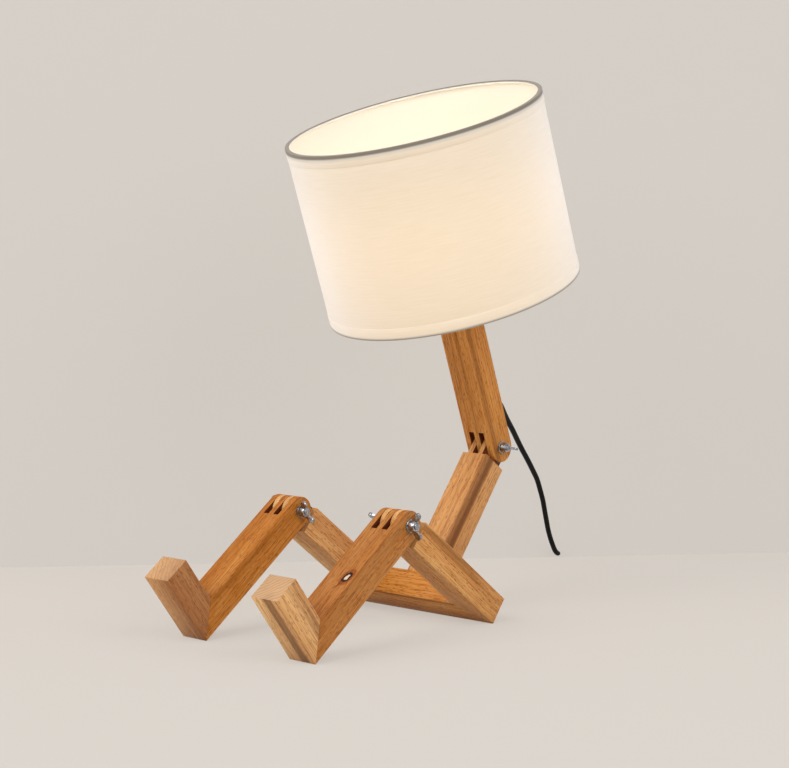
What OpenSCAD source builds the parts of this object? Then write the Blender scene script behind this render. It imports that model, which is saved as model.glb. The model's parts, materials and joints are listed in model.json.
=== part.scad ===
// Desk lamp in the shape of a seated figure, made of wooden bars.
// The figure faces -Y, its left side is +X, and it sits on the plane Z = 0.

/* [Wooden bars] */
// Width of every bar, across the lamp
bar_w = 28; // [24:0.5:32]
// Depth of hip bar, thighs, shins and feet
leg_d = 24; // [20:0.5:28]
// Depth of torso and upper beam
arm_d = 26.5; // [22:0.5:28]
// Middle of one leg to middle of the other
leg_spacing = 123; // [110:1:140]
// Back of the hip bar to the knee bolt
thigh_len = 138; // [125:1:150]
// Knee bolt to the sole
shin_len = 140; // [125:1:150]
// Length of a foot, heel to toe
foot_len = 66.5; // [55:0.5:80]
// Top of the hip bar to the waist bolt
torso_len = 136.5; // [125:0.5:150]
// Waist bolt to the top of the upper beam
beam_len = 128; // [115:1:140]

/* [Pose] */
// Slope of the thighs, which the torso stands square to
thigh_tilt = 37.3; // [32:0.1:42]
// Forward lean of the upper beam
beam_lean = 19.8; // [12:0.1:28]

/* [Finger joints] */
// Gap on each side of a tongue
finger_gap = 0.3; // [0.2:0.05:0.5]
// Room between a round end and the shoulder it turns past
shoulder_gap = 2.5; // [2:0.25:3]
// Room between a tongue's round end and the bottom of its slot
slot_gap = 5.75; // [4:0.25:7]

/* [Dowels] */
// Diameter of the dowels in the mitres
mitre_dowel_d = 6; // [5:0.5:7]
// Length of the dowels in the mitres
mitre_dowel_len = 22; // [16:1:24]
// Diameter of the dowels under the torso
torso_dowel_d = 8; // [6:0.5:9]
// Length of the dowels under the torso
torso_dowel_len = 38; // [30:1:40]
// Room around a glued dowel or a tube in its hole
glue_gap = 0.05; // [0.03:0.01:0.1]
// Room past the end of a dowel in its hole
dowel_end_gap = 0.5; // [0.3:0.1:1]

/* [Bolts and wing nuts] */
// Diameter of the bolts
bolt_d = 5; // [4:0.5:6]
// Room around a bolt in its hole
bolt_gap = 0.05; // [0.03:0.01:0.1]
// Bolt past the end of its nut
bolt_end = 1; // [0.5:0.25:2]
// Outer diameter of the washers
washer_d = 11; // [10:0.5:12]
// Thickness of the washers
washer_t = 1; // [0.8:0.1:1.5]
// Diameter of a wing nut's hub at its foot
hub_d = 9.5; // [8.5:0.25:10]
// Height of the hub
hub_h = 5.5; // [5:0.25:6.5]
// Tip to tip across the wings
wing_span = 22; // [21:0.5:24]
// Foot of the hub to the tips of the wings
wing_h = 10; // [9.5:0.25:11]
// Radius of a wing's round tip
wing_tip_r = 2.8; // [2.5:0.1:3]
// Thickness of the wings
wing_t = 2.2; // [1.8:0.1:2.6]

/* [Lampholder] */
// Outer diameter of the threaded tube
tube_d = 10; // [10:0.5:11]
// Bore of the threaded tube
tube_bore = 7.2; // [6.5:0.1:7.4]
// Threaded tube inside the beam
tube_depth = 16; // [12:1:20]
// Threaded tube above the beam
tube_rise = 8; // [7:0.5:10]
// Height of the lower cap
cap_h = 20; // [18:1:22]
// Height of the outer shell
shell_h = 36; // [34:1:40]
// Outer diameter of the outer shell
shell_d = 38; // [37:0.5:40]
// Wall of cap and shell
holder_wall = 1.8; // [1.5:0.1:2]
// Height of the shell's flange above the cap
flange_rise = 6; // [5:0.5:8]
// Thickness of the flange
flange_t = 2; // [1.5:0.25:3]
// Diameter of the flange
flange_d = 48; // [46:1:50]
// Height of the shade ring
shade_ring_h = 5; // [4:0.5:6]
// Diameter of the shade ring
shade_ring_d = 54; // [50:1:56]

/* [Shade] */
// Outer diameter of the shade
shade_d = 220; // [200:1:240]
// Height of the shade
shade_h = 158; // [140:1:170]
// Thickness of the fabric
fabric_t = 0.6; // [0.4:0.1:0.8]
// Thickness of the stiff liner
liner_t = 0.5; // [0.4:0.1:0.8]
// Gap between glued layers
layer_gap = 0.05; // [0.03:0.01:0.1]
// Width of the hem bands
hem_w = 10; // [8:0.5:12]
// Thickness of the hem bands
hem_t = 0.35; // [0.3:0.05:0.5]
// Diameter of the wire rings
wire_d = 2; // [2:0.25:3]
// Diameter of the fitter's spokes
spoke_d = 3; // [2.5:0.25:3.5]
// Height of the fitter's hub over its wire ring
fitter_rise = 10; // [8:1:12]
// Outer diameter of the fitter's hub
hub_ring_d = 60; // [58:1:64]
// Thickness of the fitter's hub
hub_ring_t = 1.2; // [1:0.1:1.5]

/* [Bulb] */
// Diameter of the bulb's globe
globe_d = 60; // [56:1:64]
// Diameter of the bulb's screw cap
screw_cap_d = 26.4; // [26:0.1:26.6]
// Wall of the globe
globe_wall = 1.2; // [1:0.1:1.5]
// End contact to the top of the screw cap
screw_cap_len = 25; // [24:0.5:26]
// End contact to the top of the bulb's housing
bulb_body_len = 56; // [52:1:60]
// Width of the driver's board
driver_w = 18; // [16:0.5:20]
// Length of the driver's capacitor
capacitor_len = 14; // [10:1:16]

/* [Cord] */
// Diameter of the cord
cord_d = 5; // [4.5:0.1:5.2]
// Angle between the cord's hole and the beam
exit_angle = 15; // [14:0.5:18]
// Bush outside the wood
bush_out = 16; // [14:1:18]
// Bush inside the wood
bush_in = 12; // [8:1:16]
// Wall of the bush at its thick end
bush_wall = 1.1; // [0.9:0.1:1.3]
// Room around the cord in hole and bush
cord_gap = 0.1; // [0.05:0.01:0.2]
// Radius of the coil's outer turns, on the cord's middle
coil_r = 39; // [38:0.5:42]
// Spacing of the coil's turns and layers
coil_pitch = 5.5; // [5.45:0.05:5.7]
// Width of the tie round the coil
tie_w = 8; // [5:1:10]
// Thickness of the tie
tie_t = 1; // [0.6:0.1:1]

/* [Switch] */
// Length of the switch
switch_len = 58; // [56:1:64]
// Width of the switch
switch_w = 22; // [20:1:25]
// Height of the switch
switch_h = 15; // [14:0.5:17]
// Wall of the switch
switch_wall = 1.6; // [1.4:0.1:2]
// Length of the rocker
rocker_len = 13; // [11:0.5:14]
// Width of the rocker
rocker_w = 9; // [8:0.5:10]
// Tilt of the rocker to each side
rocker_tilt = 7; // [5:0.5:8]

/* [Plug] */
// Width of the plug
plug_w = 30; // [28:1:34]
// Thickness of the plug
plug_t = 14; // [13:0.5:15]
// Length of the plug's body
plug_len = 34; // [30:1:38]
// Length of the plug's cord sleeve
sleeve_len = 16; // [12:1:20]
// Middle to middle of the two pins
pin_spacing = 19; // [18:0.25:19]
// Diameter of a pin's bare end
pin_d = 4; // [3.9:0.05:4.1]
// Pin outside the plug
pin_len = 19; // [18:0.5:20]
// Insulated part of a pin
pin_sleeve_len = 10; // [8:0.5:11]
// Diameter of a pin's insulated part
pin_sleeve_d = 3.4; // [3.3:0.05:3.5]
// Wall of a pin's insulation
pin_sleeve_wall = 0.4; // [0.3:0.05:0.5]

/* [Hidden] */
$fn = 64;

LEFT = 1;
RIGHT = -1;

// Each bar end has five layers: three tongues on one bar, two on the other.
layer = bar_w / 5;
tongue = layer - 2 * finger_gap;
bolt_r = bolt_d / 2;
bolt_hole_r = bolt_r + bolt_gap;

// Knee bolt, waist bolt and shin slope, with the hip bar's lower back edge at Y = 0.
knee_y = -thigh_len * cos(thigh_tilt) + leg_d / 2 * sin(thigh_tilt);
knee_z = thigh_len * sin(thigh_tilt) + leg_d / 2 * cos(thigh_tilt);
torso_y = -bar_w + arm_d / 2;
torso_top = leg_d + torso_len;
waist_y = torso_y * cos(thigh_tilt) + torso_top * sin(thigh_tilt);
waist_z = -torso_y * sin(thigh_tilt) + torso_top * cos(thigh_tilt);
shin_slope = asin(knee_z / norm([shin_len, leg_d / 2])) - atan2(leg_d / 2, shin_len);

// Lampholder and shade, measured up the beam from the waist bolt.
cap_top = beam_len + cap_h;
flange_z = cap_top + flange_rise;
fitter_z = flange_z + flange_t;
shell_top = cap_top + shell_h;
shell_bore_r = shell_d / 2 - 2 * holder_wall;
shade_r = shade_d / 2;
liner_r = shade_r - fabric_t - layer_gap;
wire_ring_r = liner_r - liner_t - layer_gap - wire_d / 2;
shade_bottom = fitter_z - fitter_rise - wire_d / 2 - layer_gap - hem_t;
shade_top = shade_bottom + shade_h;

// The whole lamp without its cord is centred on the origin, front to back.
toe_y = knee_y - shin_len * cos(shin_slope) - (foot_len - leg_d / 2) * sin(shin_slope);
shade_back_y = waist_y + (shade_r + hem_t) * cos(beam_lean) - shade_bottom * sin(beam_lean);
centre_y = (toe_y + shade_back_y) / 2;

// Bulb, measured up the beam from the waist bolt.
insert_h = 7;
insert_z = cap_top + 2;
contact_z = insert_z + insert_h;
screw_contact_len = 21;
bulb_z = contact_z + 3;
screw_cap_r = screw_cap_d / 2;
screw_cap_z = bulb_z + 3;
screw_cap_top = bulb_z + screw_cap_len;
sleeve_bore_r = screw_cap_r + 0.3;
housing_top = bulb_z + bulb_body_len;
housing_top_r = globe_d / 2 * 0.8;
housing_wall = 1.5;
globe_z = housing_top + globe_d / 2 * 0.6;
led_plate_t = 1.6;
led_plate_z = housing_top - 3;
led_plate_r = housing_top_r - 2 * housing_wall;
led_count = 12;

// Cord hole: from the threaded tube down the beam, then out of the back at a small angle.
cord_r = cord_d / 2;
cord_hole_r = cord_r + cord_gap + 0.2;
kink_z = beam_len - tube_depth - 3;
exit_z = kink_z - arm_d / 2 / tan(exit_angle);
bush_r = cord_r + cord_gap + bush_wall;
bush_tip_r = cord_r + cord_gap + bush_wall * 0.4;

// Where the cord comes out of its bush, and which way it points.
bush_tip = [arm_d / 2 + bush_out * sin(exit_angle), exit_z - bush_out * cos(exit_angle)];
exit_dir = [0, sin(exit_angle + beam_lean), -cos(exit_angle + beam_lean)];
lead_start = [0,
  waist_y + bush_tip[0] * cos(beam_lean) - bush_tip[1] * sin(beam_lean) - centre_y,
  waist_z + bush_tip[0] * sin(beam_lean) + bush_tip[1] * cos(beam_lean)];

// Switch, coil and plug lie behind the lamp; the cord's points are its middle line.
switch_x = -97;
switch_y = 390;
switch_axis_z = 7.5;
coil_x = -58;
coil_y = 484;
coil_z = tie_t + 0.2 + cord_r;
plug_y = 515;
plug_axis_z = plug_t / 2;
lead_points = [
  [-2, 155.5, 173], [-9.5, 170, 164.5], [-17, 184.5, 156], [-24, 201, 145], [-31, 216.5, 134.5],
  [-37, 231.5, 123.5], [-43, 247.5, 112], [-49, 262.5, 101], [-54.5, 276.5, 90],
  [-60, 288.5, 78], [-65, 299, 67], [-70.5, 309, 55.5], [-76, 319, 44], [-81, 328.5, 32.5],
  [-85.5, 338.5, 21.5], [-88.5, 346, 14], [-90.5, 351, 9.5], [-92, 355.5, 6], [-93.5, 360.5, 3.6],
  [-95, 366, 2.8], [-96, 371.5, 3.5], [-97, 378, 5.5]];
lead_path = concat(
  [lead_start, lead_start + 6 * exit_dir],
  lead_points,
  [[switch_x, switch_y - 6, switch_axis_z], [switch_x, switch_y, switch_axis_z]]);

// Coil: spirals in on the table, climbs in half a turn, spirals out on top.
// Each spiral has a whole number of turns and a quarter, so both ends leave one side.
coil_turns = 3.25;
coil_steps = 24;
coil_end = 2 * coil_turns + 0.5;
coil_inner_r = coil_r - coil_pitch * coil_turns;
coil_dip = 0.9;
function smooth(f) = f * f * (3 - 2 * f);
function climb(t) = min(1, max(0, (t - coil_turns) / 0.5));
function coil_radius(t) =
  t < coil_turns ? coil_r - coil_pitch * t
  : t > coil_turns + 0.5 ? coil_inner_r + coil_pitch * (t - coil_turns - 0.5)
  : coil_inner_r - coil_dip * sin(180 * climb(t));
function coil_point(t) = [
  coil_x - coil_radius(t) * cos(360 * t),
  coil_y + coil_radius(t) * sin(360 * t),
  coil_z + coil_pitch * smooth(climb(t))];
coil_top_z = coil_z + coil_pitch;
lead_in_len = coil_y - switch_y - switch_len;
lead_out_len = plug_y - coil_y;
function lead_in_z(y) =
  switch_axis_z + (coil_z - switch_axis_z) * smooth(min(1, max(0, (y - cord_d) / 15)));
function lead_out_z(y) =
  coil_top_z + (plug_axis_z - coil_top_z) * smooth(min(1, max(0, (y - 13) / 12)));
coil_path = concat(
  [for (y = [0 : 3 : lead_in_len - 3]) [coil_x - coil_r, coil_y - lead_in_len + y, lead_in_z(y)]],
  [for (i = [0 : coil_end * coil_steps]) coil_point(i / coil_steps)],
  [for (y = [4 : 3 : lead_out_len]) [coil_x - coil_r, coil_y + y, lead_out_z(y)]]);

// A round tube swept along points: one ring of corners at each point.
function unit(v) = v / norm(v);
function heading(path, i) = unit(path[min(i + 1, len(path) - 1)] - path[max(i - 1, 0)]);
function ring(p, t, r, sides) =
  let (side = unit(cross([0, 0, 1], t)), up = cross(t, side))
  [for (k = [0 : sides - 1]) p + r * (cos(360 * k / sides) * side + sin(360 * k / sides) * up)];
module swept_tube(path, r, sides) {
  n = len(path);
  corners = [for (i = [0 : n - 1]) each ring(path[i], heading(path, i), r, sides)];
  walls = [for (i = [0 : n - 2], k = [0 : sides - 1])
    let (a = i * sides + k, b = i * sides + (k + 1) % sides)
    each [[a, a + sides, b], [b, a + sides, b + sides]]];
  start_cap = [for (k = [1 : sides - 2]) [0, k, k + 1]];
  end_cap = [for (k = [1 : sides - 2]) (n - 1) * sides * [1, 1, 1] + [0, k + 1, k]];
  polyhedron(points = corners, faces = concat(walls, start_cap, end_cap), convexity = 10);
}

// Least gap between stretches of the coil that are more than half a turn apart.
coil_gap = min([for (i = [0 : len(coil_path) - 1], j = [i + coil_steps / 2 : len(coil_path) - 1])
  norm(coil_path[i] - coil_path[j])]) - cord_d;
function path_len(path) = len(path) < 2 ? 0 :
  norm(path[1] - path[0]) + path_len([for (i = [1 : len(path) - 1]) path[i]]);
echo(str("least gap in the coil: ", coil_gap, " mm"));
echo(str("cord outside the lamp: ", path_len(lead_path) + switch_len + path_len(coil_path), " mm"));
echo(str("bush tip: ", lead_start, ", moved back by ", -centre_y, ", shin slope ", shin_slope));

// Frames of the lamp's parts
module lamp() translate([0, -centre_y, 0]) children();
module seat() lamp() rotate([-thigh_tilt, 0, 0]) children();
module at_knee(side) lamp() translate([side * leg_spacing / 2, knee_y, knee_z]) children();
module at_waist() lamp() translate([0, waist_y, waist_z]) children();
module shin_frame(side) at_knee(side) rotate([shin_slope, 0, 0]) children();
module beam_frame() at_waist() rotate([beam_lean, 0, 0]) children();
module mirrored(side) mirror([side < 0 ? 1 : 0, 0, 0]) children();

// A side outline, drawn with Y to the right and Z up, made solid from x for a width of w
module slab(x, w) translate([x, 0, 0]) rotate([90, 0, 90]) linear_extrude(w) children();
module bar_slab() slab(-bar_w / 2, bar_w) children();
module cross_hole(r) rotate([0, 90, 0]) cylinder(r = r, h = 2 * bar_w, center = true);
module slots(depth) for (s = [-1, 1])
  translate([(s - 0.5) * layer, -depth, -depth / 2 - slot_gap]) cube([layer, 2 * depth, depth + 2 * slot_gap]);
module tongues() for (s = [-1, 1]) slab(s * layer - tongue / 2, tongue) children();

// Dowels lie along Z, their middle in the joint
module mitre_dowel(gap = 0, end = 0)
  cylinder(d = mitre_dowel_d + 2 * gap, h = mitre_dowel_len + 2 * end, center = true);
module hip_dowel_places() for (s = [-1, 1]) translate([leg_spacing / 2, -bar_w / 2,
  leg_d / 2 + s * leg_d / 4]) rotate([0, 90, -45]) children();
module ankle_dowel_places() for (s = [-1, 1]) translate([s * bar_w / 4, -shin_len + leg_d / 2, 0])
  rotate([45, 0, 0]) children();
module torso_dowel_places() for (s = [-1, 1]) translate([s * bar_w / 4, torso_y, leg_d]) children();

module hip_bar() color("BurlyWood") seat() difference() {
  outer = leg_spacing / 2 + bar_w / 2;
  inner = leg_spacing / 2 - bar_w / 2;
  linear_extrude(leg_d)
    polygon([[-outer, 0], [outer, 0], [inner, -bar_w], [-inner, -bar_w]]);
  for (side = [LEFT, RIGHT]) mirrored(side)
    hip_dowel_places() mitre_dowel(glue_gap, dowel_end_gap);
  torso_dowel_places()
    cylinder(d = torso_dowel_d + 2 * glue_gap, h = torso_dowel_len + 2 * dowel_end_gap, center = true);
}

module thigh(side) color("BurlyWood") seat() mirrored(side) {
  shoulder = leg_d / 2 + shoulder_gap;
  difference() {
    union() {
      translate([leg_spacing / 2, 0, 0]) linear_extrude(leg_d)
        polygon([[-bar_w / 2, shoulder - thigh_len], [bar_w / 2, shoulder - thigh_len],
          [bar_w / 2, 0], [-bar_w / 2, -bar_w]]);
      translate([leg_spacing / 2, 0, 0]) tongues() {
        translate([-thigh_len, 0]) square([shoulder, leg_d]);
        translate([-thigh_len, leg_d / 2]) circle(d = leg_d);
      }
    }
    translate([leg_spacing / 2, -thigh_len, leg_d / 2]) cross_hole(bolt_hole_r);
    hip_dowel_places() mitre_dowel(glue_gap, dowel_end_gap);
  }
}

module hip_dowels() color("Tan") seat()
  for (side = [LEFT, RIGHT]) mirrored(side) hip_dowel_places() mitre_dowel();

module torso_beam() color("BurlyWood") seat() difference() {
  shoulder = torso_top - arm_d / 2 - shoulder_gap;
  union() {
    bar_slab() translate([-bar_w, leg_d]) square([arm_d, shoulder - leg_d]);
    tongues() {
      translate([-bar_w, shoulder]) square([arm_d, torso_top - shoulder]);
      translate([torso_y, torso_top]) circle(d = arm_d);
    }
  }
  translate([0, torso_y, torso_top]) cross_hole(bolt_hole_r);
  torso_dowel_places()
    cylinder(d = torso_dowel_d + 2 * glue_gap, h = torso_dowel_len + 2 * dowel_end_gap, center = true);
}

module torso_dowels() color("Tan") seat()
  torso_dowel_places() cylinder(d = torso_dowel_d, h = torso_dowel_len, center = true);

// Shin and foot meet in a mitre; the knee bolt is at the origin and the ankle towards -Y
module shin(side) color("BurlyWood") shin_frame(side) difference() {
  bar_slab() {
    polygon([[-shin_len, -leg_d / 2], [0, -leg_d / 2], [0, leg_d / 2], [leg_d - shin_len, leg_d / 2]]);
    circle(d = leg_d);
  }
  rotate([-90, 0, 0]) slots(leg_d);
  cross_hole(bolt_hole_r);
  ankle_dowel_places() mitre_dowel(glue_gap, dowel_end_gap);
}

module foot(side) color("BurlyWood") shin_frame(side) difference() {
  bar_slab() polygon([[-shin_len, -leg_d / 2], [leg_d - shin_len, leg_d / 2],
    [leg_d - shin_len, foot_len - leg_d / 2], [-shin_len, foot_len - leg_d / 2]]);
  ankle_dowel_places() mitre_dowel(glue_gap, dowel_end_gap);
}

module ankle_dowels(side) color("Tan") shin_frame(side) ankle_dowel_places() mitre_dowel();

// Wing outline beside the hub: along the bolt to the right, away from it upwards
function touch(p, c, r, way) = let (v = p - c, a = atan2(v[1], v[0]) + way * acos(r / norm(v)))
  c + r * [cos(a), sin(a)];
module wing_outline() {
  tip = [wing_h - wing_tip_r, wing_span / 2 - wing_tip_r];
  foot_in = [0.8, hub_d / 2 - 1.2];
  foot_out = [hub_h - 0.6, hub_d / 2 - 1.8];
  translate(tip) circle(r = wing_tip_r);
  polygon([foot_in, touch(foot_in, tip, wing_tip_r, -1), tip,
    touch(foot_out, tip, wing_tip_r, 1), foot_out]);
}
module wings(angle) rotate([angle, 0, 0]) {
  rotate([0, 90, 0]) cylinder(d1 = hub_d, d2 = hub_d - 1.5, h = hub_h);
  for (turn = [0, 180]) rotate([turn, 0, 0]) linear_extrude(wing_t, center = true) wing_outline();
}
washer_face = bar_w / 2 + washer_t;

// Wing bolt: head on the -X side, thread through the nut on the +X side
module wing_bolt(angle) color("Silver") {
  translate([-washer_face, 0, 0]) mirror([1, 0, 0]) wings(angle);
  translate([-washer_face, 0, 0]) rotate([0, 90, 0])
    cylinder(r = bolt_r, h = 2 * washer_face + hub_h + bolt_end);
}
module wing_nut(angle) color("Silver") translate([washer_face, 0, 0]) difference() {
  wings(angle);
  cross_hole(bolt_hole_r);
}
module washers() color("LightGray") for (s = [-1, 1])
  translate([s * (bar_w + washer_t) / 2, 0, 0]) rotate([0, 90, 0]) difference() {
    cylinder(d = washer_d, h = washer_t, center = true);
    cylinder(r = bolt_r + 0.2, h = 2 * washer_t, center = true);
  }

// Cord hole's sloping part: from the kink towards the back of the beam
module cord_slope() translate([0, 0, kink_z]) rotate([180 + exit_angle, 0, 0]) children();
slope_len = (kink_z - exit_z) / cos(exit_angle);

module upper_beam() color("BurlyWood") beam_frame() difference() {
  bar_slab() {
    translate([-arm_d / 2, 0]) square([arm_d, beam_len]);
    circle(d = arm_d);
  }
  slots(arm_d);
  cross_hole(bolt_hole_r);
  translate([0, 0, beam_len - tube_depth]) cylinder(d = tube_d + 2 * glue_gap, h = 2 * tube_depth);
  translate([0, 0, kink_z]) {
    cylinder(r = cord_hole_r, h = tube_depth);
    sphere(r = cord_hole_r);
  }
  cord_slope() cylinder(r = cord_hole_r, h = slope_len + beam_len / 2);
  cord_slope() translate([0, 0, slope_len - bush_in])
    cylinder(r = bush_r + glue_gap, h = bush_in + beam_len / 2);
}

module inner_cable() color("Black") beam_frame() {
  translate([0, 0, kink_z]) {
    cylinder(r = cord_r, h = beam_len + tube_rise + 3 - kink_z);
    sphere(r = cord_r);
  }
  cord_slope() cylinder(r = cord_r, h = slope_len + bush_out);
}

module cord_bush() color("Black") beam_frame() cord_slope() difference() {
  translate([0, 0, slope_len]) {
    translate([0, 0, -bush_in]) cylinder(r = bush_r, h = bush_in);
    cylinder(r1 = bush_r, r2 = bush_tip_r, h = bush_out);
  }
  cylinder(r = cord_r + cord_gap, h = 2 * slope_len);
}

module threaded_tube() color("DarkGoldenrod") beam_frame() difference() {
  translate([0, 0, beam_len - tube_depth]) cylinder(d = tube_d, h = tube_depth + tube_rise);
  translate([0, 0, beam_len - 2 * tube_depth]) cylinder(d = tube_bore, h = 4 * tube_depth);
}

module tube_nut() color("Silver") beam_frame()
  translate([0, 0, beam_len + holder_wall]) difference() {
    cylinder(d = tube_d * 1.6, h = 3.5, $fn = 6);
    translate([0, 0, -1]) cylinder(d = tube_d + 2 * glue_gap, h = 6);
  }

module holder_cap() color("Black") beam_frame() translate([0, 0, beam_len]) {
  foot_r = arm_d / 2;
  rotate_extrude() polygon([
    [tube_d / 2 + glue_gap, 0], [foot_r, 0], [shell_d / 2, cap_h * 0.5], [shell_d / 2, cap_h],
    [shell_d / 2 - holder_wall, cap_h], [shell_d / 2 - holder_wall, cap_h * 0.5],
    [foot_r - holder_wall, holder_wall], [tube_d / 2 + glue_gap, holder_wall]]);
}

module holder_shell() color("Black") beam_frame() rotate_extrude() polygon([
  [shell_bore_r, cap_top], [shell_d / 2, cap_top], [shell_d / 2, flange_z],
  [flange_d / 2, flange_z], [flange_d / 2, flange_z + flange_t], [shell_d / 2, flange_z + flange_t],
  [shell_d / 2, shell_top], [shell_bore_r, shell_top]]);

module holder_insert() color("White") beam_frame() translate([0, 0, insert_z]) difference() {
  cylinder(r = shell_bore_r - layer_gap, h = insert_h);
  for (s = [-1, 1]) translate([s * 9, 0, -1]) cylinder(d = 3, h = insert_h + 2);
}

module holder_screw_contact() color("Gold") beam_frame() translate([0, 0, contact_z]) difference() {
  cylinder(r = sleeve_bore_r + 0.5, h = screw_contact_len);
  translate([0, 0, -1]) cylinder(r = sleeve_bore_r, h = screw_contact_len + 2);
}

module holder_centre_contact() color("Gold") beam_frame() translate([0, 0, contact_z]) {
  translate([-2.5, -7, 0]) cube([5, 10, 0.6]);
  translate([-2.5, -7, 0]) cube([5, 0.6, bulb_z - contact_z]);
  translate([-2.5, -7, bulb_z - contact_z - 0.6]) cube([5, 10, 0.6]);
}

module shade_ring() color("Black") beam_frame() translate([0, 0, fitter_z + hub_ring_t])
  difference() {
    cylinder(d = shade_ring_d, h = shade_ring_h);
    translate([0, 0, -1]) cylinder(d = shell_d + 4 * glue_gap, h = shade_ring_h + 2);
  }

module wire_ring() rotate_extrude($fn = 180) translate([wire_ring_r, 0]) circle(d = wire_d, $fn = 32);

// Hub ring on the lampholder's flange, three spokes and the shade's lower wire, welded together
module shade_fitter() color("White") beam_frame() translate([0, 0, fitter_z]) {
  spoke_run = wire_ring_r - hub_ring_d / 2 + spoke_d / 2;
  difference() {
    cylinder(d = hub_ring_d, h = hub_ring_t);
    translate([0, 0, -1]) cylinder(d = shell_d + 4 * glue_gap, h = hub_ring_t + 2);
  }
  for (a = [90, 210, 330]) rotate([0, 0, a]) translate([hub_ring_d / 2 - spoke_d / 2, 0, 0])
    rotate([0, 90 + atan2(fitter_rise, spoke_run), 0])
    cylinder(d = spoke_d, h = norm([spoke_run, fitter_rise]) - wire_d / 4);
  translate([0, 0, -fitter_rise]) wire_ring();
}

module shade_top_wire() color("White") beam_frame()
  translate([0, 0, shade_top - hem_t - layer_gap - wire_d / 2]) wire_ring();

module shade_tube(r_out, t) beam_frame() translate([0, 0, shade_bottom + hem_t])
  rotate_extrude($fn = 180) translate([r_out - t, 0]) square([t, shade_h - 2 * hem_t]);
module shade_liner() color("Ivory") shade_tube(liner_r, liner_t);
module shade_fabric() color("White") shade_tube(shade_r, fabric_t);

// Hem band: outside the fabric, turned in over the rim and under the wire
module hem_outline() {
  translate([shade_r + layer_gap, 0]) square([hem_t - layer_gap, hem_w]);
  translate([wire_ring_r, 0]) square([shade_r + hem_t - wire_ring_r, hem_t]);
}
module shade_bottom_hem() color("White") beam_frame()
  translate([0, 0, shade_bottom]) rotate_extrude($fn = 180) hem_outline();
module shade_top_hem() color("White") beam_frame()
  translate([0, 0, shade_top]) mirror([0, 0, 1]) rotate_extrude($fn = 180) hem_outline();

module bulb_globe() color("White") beam_frame() translate([0, 0, globe_z]) difference() {
  sphere(d = globe_d);
  sphere(d = globe_d - 2 * globe_wall);
  translate([0, 0, housing_top - globe_z - globe_d]) cylinder(d = 2 * globe_d, h = globe_d);
}

module bulb_housing() color("White") beam_frame() rotate_extrude() polygon([
  [screw_cap_r + layer_gap, screw_cap_top - 4], [screw_cap_r + housing_wall, screw_cap_top - 4],
  [screw_cap_r + housing_wall, shell_top + 1],
  [housing_top_r, housing_top - 6], [housing_top_r, housing_top],
  [led_plate_r + layer_gap, housing_top], [led_plate_r + layer_gap, led_plate_z],
  [led_plate_r - housing_wall, led_plate_z], [screw_cap_r - housing_wall, screw_cap_top + 2],
  [screw_cap_r - housing_wall, screw_cap_top], [screw_cap_r + layer_gap, screw_cap_top]]);

module bulb_led_plate() color("Silver") beam_frame()
  translate([0, 0, led_plate_z]) cylinder(r = led_plate_r, h = led_plate_t);

module bulb_leds() color("Khaki") beam_frame() for (i = [0 : led_count - 1])
  rotate([0, 0, 360 / led_count * i]) translate([led_plate_r * 0.6, -1.5, led_plate_z + led_plate_t])
    cube([3, 3, 0.8]);

module bulb_driver() color("SeaGreen") beam_frame() {
  foot_z = screw_cap_z + 6;
  translate([-driver_w / 2, -0.8, foot_z]) cube([driver_w, 1.6, led_plate_z - foot_z]);
  translate([4, 0.8, foot_z + 14]) cube([4, 5, 7]);
  translate([-4, 5, led_plate_z - 8 - capacitor_len]) cylinder(d = 9, h = capacitor_len);
}

module bulb_screw_cap() color("Silver") beam_frame() rotate_extrude() polygon([
  [6.5, screw_cap_z], [screw_cap_r - 1.5, screw_cap_z], [screw_cap_r, screw_cap_z + 2],
  [screw_cap_r, screw_cap_top], [screw_cap_r - 0.4, screw_cap_top],
  [screw_cap_r - 0.4, screw_cap_z + 2.4], [screw_cap_r - 1.7, screw_cap_z + 0.4],
  [6.5, screw_cap_z + 0.4]]);

module bulb_insulator() color("DimGray") beam_frame() rotate_extrude() polygon([
  [2, bulb_z + 1], [5, bulb_z + 1], [9, screw_cap_z], [6.45, screw_cap_z],
  [6.45, screw_cap_z + 2], [2, screw_cap_z + 2]]);

module bulb_end_contact() color("Silver") beam_frame() translate([0, 0, bulb_z]) {
  cylinder(r1 = 3.8, r2 = 4.8, h = 1);
  cylinder(r = 1.95, h = 3);
}

module cord_lead() color("Black") swept_tube(lead_path, cord_r, 10);
module cord_coil() color("Black") swept_tube(coil_path, cord_r, 6);

// Flat tie round the coil's turns, opposite the ends
module cord_tie() color("DimGray") translate([coil_x, coil_y, 0]) {
  inside = coil_inner_r - coil_dip - cord_r - 0.3;
  outside = coil_r + cord_r + 0.3;
  top = coil_top_z + cord_r + 0.3;
  difference() {
    translate([inside - tie_t, -tie_w / 2, 0]) cube([outside - inside + 2 * tie_t, tie_w, top + tie_t]);
    translate([inside, -tie_w, tie_t]) cube([outside - inside, 2 * tie_w, top - tie_t]);
  }
}

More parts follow.
